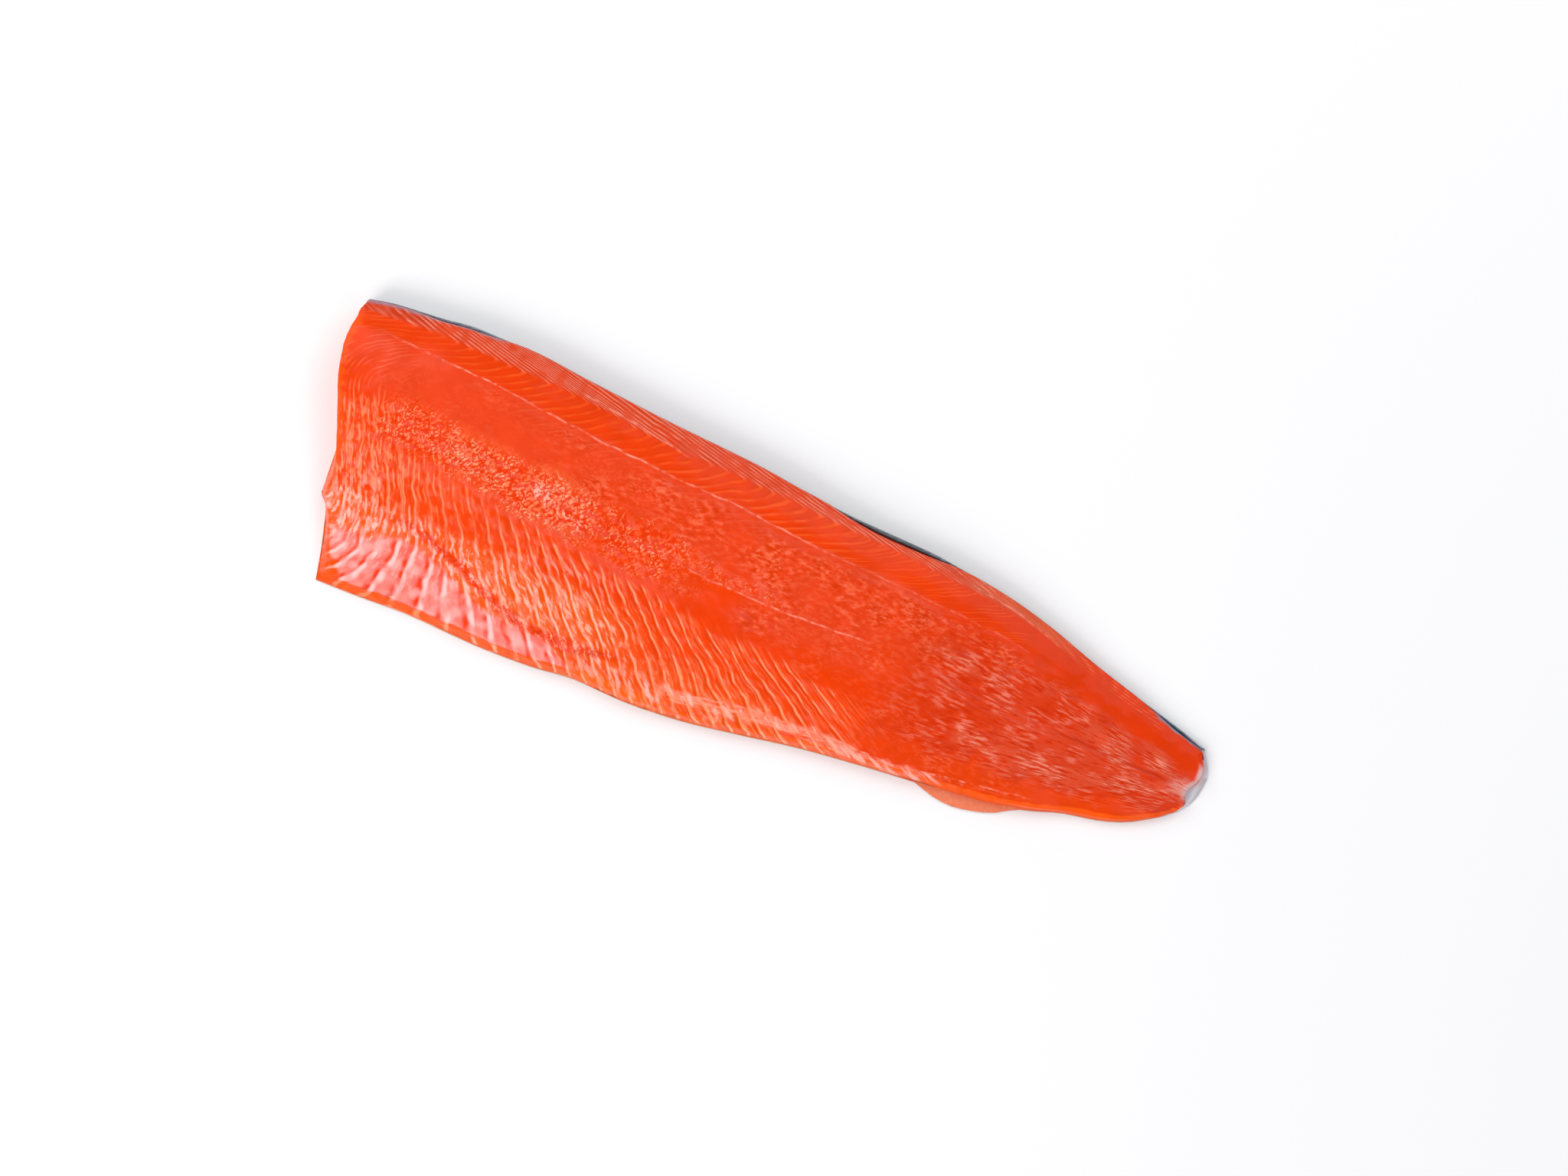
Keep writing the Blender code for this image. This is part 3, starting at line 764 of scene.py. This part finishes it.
# %% Raw muscle: lay the colours over one another
deep = add_node(
    raw_muscle, "ShaderNodeHueSaturation",
    {"Saturation": 1.25, "Value": 0.86, "Color": read["tissue"]},
)
muscle_colour = read["tissue"]
for name, colour in (
    ("dark flecks", deep),
    ("dark blotches", deep),
    ("dark wrinkles", deep),
    ("pale blotches", linear("#F66C48")),
    ("pale wrinkles", linear("#F4704C")),
    # Pale flecks of fat, partly painted small highlights.
    ("pale flecks and highlights", read["tint"]),
    # Pale strokes of fat, partly painted highlights.
    ("pale strokes and highlights", linear("#FFB2A2")),
    # Painted shade beside the sheet lines.
    ("shade beside lines", deep),
    ("fine lines", read["tint"]),
    ("sheet lines", read["tint"]),
    ("seam lines", linear("#FF9C84")),
    # Painted shade in the gaps between the crumbs.
    ("shaded gaps", linear("#E63402")),
    # Painted glints on the tops of the crumbs.
    ("glinting crumbs", linear("#FFB490")),
    ("dark fibres", linear("#D02F04")),
    ("pale fibres", linear("#F2846C")),
):
    muscle_colour = add_node(
        raw_muscle, "ShaderNodeMix",
        {"data_type": "RGBA", 0: masks[name], 6: muscle_colour, 7: colour}, 2,
    )
raw_muscle.node_tree.links.new(muscle_colour, muscle_shader.inputs["Base Color"])
print("muscle colour uses", len(raw_muscle.node_tree.nodes), "nodes")

# %% Raw muscle: fine relief and the wet film
fine_height = 0.0
for name, rise in (("sheet lines", 0.8), ("glinting crumbs", 1.4), ("pale fibres", 1.2)):
    fine_height = add_node(
        raw_muscle, "ShaderNodeMath",
        {"operation": "MULTIPLY_ADD", 0: masks[name], 1: rise, 2: fine_height},
    )
fine_relief = add_node(
    raw_muscle, "ShaderNodeBump", {"Strength": 0.6, "Distance": 0.3 * MM, "Height": fine_height}
)
raw_muscle.node_tree.links.new(fine_relief, muscle_shader.inputs["Normal"])
for socket, value in (
    ("Roughness", 0.27), ("IOR", 1.36), ("Specular IOR Level", 0.15), ("Coat Weight", 0.12),
    ("Coat Roughness", 0.09), ("Coat IOR", 1.33),
):
    muscle_shader.inputs[socket].default_value = value
flesh.data.materials.append(raw_muscle)
print("muscle material:", len(raw_muscle.node_tree.nodes), "nodes")


# %% [markdown]
# Salmon skin is dark blue-grey with black spots along the back, silver on the flank and nearly
# white at the belly, and it is set with small overlapping scales in slanted rows. It shows at the
# back edge, at the tail, and as the stub of the belly fin, and all over the underside. We store
# how far each point lies from the back edge, measured round the curve, and the material turns
# that into the colours and the rows of scales.

# %% Copy the skin, and cut it into small squares so that it can hold fields
SQUARE = 4  # mm
skin_bm = merged_copy("skin")
for axis, reach in ((0, 200), (1, 60)):
    for station in range(-reach, reach + 1, SQUARE):
        bmesh.ops.bisect_plane(
            skin_bm, geom=skin_bm.verts[:] + skin_bm.edges[:] + skin_bm.faces[:], dist=0.001 * MM,
            plane_co=Vector.Fill(3, station * MM), plane_no=[1.0 - axis, axis, 0.0],
        )
bmesh.ops.triangulate(skin_bm, faces=[f for f in skin_bm.faces if len(f.verts) > 4])
print("skin:", len(skin_bm.verts), "vertices")

# %% Measure the skin round its curve
skin_points = np.array([v.co[:] for v in skin_bm.verts]) / MM
skin_up = np.array([v.normal.z for v in skin_bm.verts])
sx, sy, sz = skin_points.T
skin_back = outline(skin_points, x_stations, 0, np.max)
skin_belly = outline(skin_points, x_stations, 0, np.min)
from_back = np.interp(sx, x_stations, skin_back) - sy
flank = from_back / np.interp(sx, x_stations, skin_back - skin_belly)
# The flank's height makes the way round it longer, so it moves the rows of scales on.
round_curve = from_back - 0.9 * sz
inside = smooth_step(0.2, 0.7, skin_up) * smooth_step(0.5, 0.7, sz)
print("skin from the back edge to the belly:", round(float(round_curve.max()), 1), "mm")

# %% Colours of the skin
back_share = smooth_step(0.34, 0.02, flank - 0.012 * sz)
belly_share = smooth_step(0.5, 0.95, flank)
seen_rim = smooth_step(-0.5, 0.0, skin_up) * smooth_step(0.4, 0.6, flank)
fin_stub = smooth_step(0.9, 0.96, flank) * band(sx, 90, 140, 4) * smooth_step(0.0, 0.3, skin_up)
tail_film = inside * smooth_step(186, 194, sx)
skin_tone = np.tile(linear("#9FA6AE")[:3], (len(sx), 1))
for hex_colour, mask in (
    ("#39444F", back_share),
    ("#5F6C7C", back_share * smooth_step(-120, -140, sx)),
    ("#62758A", back_share * smooth_step(160, 176, sx)),
    ("#D9D6D2", belly_share),
    ("#F08656", seen_rim),
    ("#F0805A", np.maximum(fin_stub, inside * band(sx, 84, 150, 6))),
    ("#D3CED8", tail_film),
    ("#DDA398", tail_film * band(sy, 6, 16, 2) * smooth_step(203, 200, sx)),
):
    skin_tone = paint(skin_tone, hex_colour, mask)
scaled = smooth_step(0.4, 0.3, flank) * (1 - inside)
scaled = np.maximum(scaled, smooth_step(-0.5, -0.8, skin_up))
skin = finish_piece(skin_bm, "salmon_skin", "skin")
skin_fields = {
    "skin_tone": skin_tone, "round_curve": round_curve, "spots": back_share * (1 - inside),
    "scaled": scaled, "fin_stub": fin_stub,
}
for name, values in skin_fields.items():
    store(skin.data, name, values)
print("skin piece:", sum(len(p.vertices) - 2 for p in skin.data.polygons), "triangles")

# %% Scaled skin: coordinates round its curve, and cells for its scales, spots and dots
# Scaled salmon skin: a silvery sheen, broken by dark edges of scales and a few round black spots.
scaled_skin, skin_shader = new_material("scaled_salmon_skin")
skin_read = {}
for name, values in skin_fields.items():
    skin_read[name] = add_node(
        scaled_skin, "ShaderNodeAttribute", {"attribute_name": name},
        "Color" if values.ndim == 2 else "Fac",
    )
skin_place = add_node(scaled_skin, "ShaderNodeTexCoord", {}, "Object")
skin_axes = add_node(scaled_skin, "ShaderNodeSeparateXYZ", {0: skin_place})
along_mm = add_node(
    scaled_skin, "ShaderNodeMath", {"operation": "MULTIPLY", 0: skin_axes, 1: 1 / MM}
)
on_skin = add_node(
    scaled_skin, "ShaderNodeCombineXYZ", {0: along_mm, 1: skin_read["round_curve"]}
)
scale_rows = add_node(
    scaled_skin, "ShaderNodeMapping",
    {"Vector": on_skin, "Scale": (0.32, 0.42, 1.0), "Rotation": (0, 0, 0.5)},
)
# The scales are about 3 by 2.4 mm, the spots lie 13 mm apart and the fin's dots 1.7 mm.
cells = {}
for name, where, per_mm, randomness in (
    ("scales", scale_rows, 1.0, 0.25),
    ("spots", on_skin, 0.075, 1.0),
    ("dots", on_skin, 0.6, 0.8),
):
    cells[name] = add_node(
        scaled_skin, "ShaderNodeTexVoronoi",
        {"Vector": where, "Scale": per_mm, "Randomness": randomness},
    )
print("cells:", ", ".join(cells))

# %% Scaled skin: lay the colours over one another
marks = {}
for name, nothing, full, field in (
    ("scales", 0.3, 0.62, "scaled"),
    ("spots", 0.2, 0.14, "spots"),
    ("dots", 0.6, 0.1, "fin_stub"),
):
    marks[name] = add_node(
        scaled_skin, "ShaderNodeMapRange",
        {0: cells[name], 1: nothing, 2: full, 3: 0.0, 4: skin_read[field]},
    )
faint_scales = add_node(
    scaled_skin, "ShaderNodeMath", {"operation": "MULTIPLY", 0: marks["scales"], 1: 0.4}
)
skin_colour = skin_read["skin_tone"]
for mask, hex_colour in (
    (faint_scales, "#4A525A"), (marks["spots"], "#14171B"), (marks["dots"], "#F2936C"),
):
    skin_colour = add_node(
        scaled_skin, "ShaderNodeMix",
        {"data_type": "RGBA", 0: mask, 6: skin_colour, 7: linear(hex_colour)}, 2,
    )
scaled_skin.node_tree.links.new(skin_colour, skin_shader.inputs["Base Color"])
scale_relief = add_node(
    scaled_skin, "ShaderNodeBump",
    {"Strength": 0.5, "Distance": 0.3 * MM, "invert": True, "Height": marks["scales"]},
)
scaled_skin.node_tree.links.new(scale_relief, skin_shader.inputs["Normal"])
for socket, value in (("Roughness", 0.32), ("Coat Weight", 0.3), ("Coat Roughness", 0.15)):
    skin_shader.inputs[socket].default_value = value
skin.data.materials.append(scaled_skin)
print("skin material:", len(scaled_skin.node_tree.nodes), "nodes")

# %% [markdown]
# The photo looks almost straight down on the fillet, which lies across the picture with its tail
# to the lower right. Instead of turning the fillet, the camera is rolled: its right-hand side
# points along a slanted line in the frame. Its distance comes from the scale of the photo, where
# 2048 pixels span 660 millimetres.

# %% Camera
ROLL = math.radians(23.66)
TILT = math.radians(2.8)
FRAME_WIDTH = 660.2 * MM
LENS, SENSOR = 50.0, 36.0
aim = Vector((8.5, 13.6, 6.0)) * MM
right = Vector((math.cos(ROLL), math.sin(ROLL), 0))
up_picture = Vector((-math.sin(ROLL), math.cos(ROLL), 0))
back = (Vector((0, 0, 1)) * math.cos(TILT) - up_picture * math.sin(TILT)).normalized()
camera_data = bpy.data.cameras.new("camera")
camera_data.lens, camera_data.sensor_width = LENS, SENSOR
camera_data.clip_start = 0.01
camera = bpy.data.objects.new("camera", camera_data)
bpy.context.scene.collection.objects.link(camera)
distance = FRAME_WIDTH * LENS / SENSOR
turn = Matrix((right, back.cross(right), back)).transposed().to_4x4()
camera.matrix_world = Matrix.Translation(aim + back * distance) @ turn
bpy.context.scene.camera = camera
print("camera", round(distance, 3), "m from the fillet")

# %% [markdown]
# Wet fish needs soft light from the side. A lamp close to the camera would mirror in the film of
# water and wash the orange out, so the large key light stands low on one side, a weaker one
# fills the other, and the surroundings stay dim. The floor is a matt white board, an even,
# pale ground without any shine of its own.


# %% Lights
def soft_light(name, direction, elevation, metres, size, watts):
    """A square lamp that looks at the fillet from a direction in the picture, in degrees."""
    data = bpy.data.lights.new(name, "AREA")
    data.shape, data.size, data.energy = "SQUARE", size, watts
    turn_by = math.radians(direction)
    side = right * math.cos(turn_by) + up_picture * math.sin(turn_by)
    rise = math.radians(elevation)
    towards = side * math.cos(rise) + Vector((0, 0, 1)) * math.sin(rise)
    lamp = bpy.data.objects.new(name, data)
    lamp.location = towards * metres
    lamp.rotation_mode = "QUATERNION"
    lamp.rotation_quaternion = towards.to_track_quat("Z", "Y")
    bpy.context.scene.collection.objects.link(lamp)


for name, direction, elevation, metres, size, watts in (
    ("key", 225, 38, 1.2, 0.8, 7.6),
    ("fill", 45, 40, 1.3, 1.0, 6.4),
    ("upper side", 135, 38, 1.3, 0.9, 7.6),
    ("lower side", 315, 38, 1.3, 0.9, 3.8),
):
    soft_light(name, direction, elevation, metres, size, watts)

# %% Surroundings and floor
WORLD_STRENGTH = 0.24
FLOOR_HALF_SIDE = 8.0  # metres
world = bpy.data.worlds.new("dim_studio")
world.use_nodes = True
background = world.node_tree.nodes["Background"]
background.inputs["Color"].default_value = (1, 1, 1, 1)
background.inputs["Strength"].default_value = WORLD_STRENGTH
bpy.context.scene.world = world
bpy.context.scene.view_settings.view_transform = "Standard"
floor_bm = bmesh.new()
bmesh.ops.create_grid(floor_bm, x_segments=1, y_segments=1, size=FLOOR_HALF_SIDE)
floor_mesh = bpy.data.meshes.new("floor")
floor_bm.to_mesh(floor_mesh)
floor_bm.free()
floor = bpy.data.objects.new("floor", floor_mesh)
bpy.context.scene.collection.objects.link(floor)
# Matt white board: an even, nearly white ground that mirrors nothing.
matt_white, floor_shader = new_material("matt_white_board")
floor_shader.inputs["Base Color"].default_value = linear("#F8F8FA")
floor_shader.inputs["Roughness"].default_value = 0.9
floor_shader.inputs["Specular IOR Level"].default_value = 0.0
floor.data.materials.append(matt_white)
print("floor:", 2 * FLOOR_HALF_SIDE, "m wide")
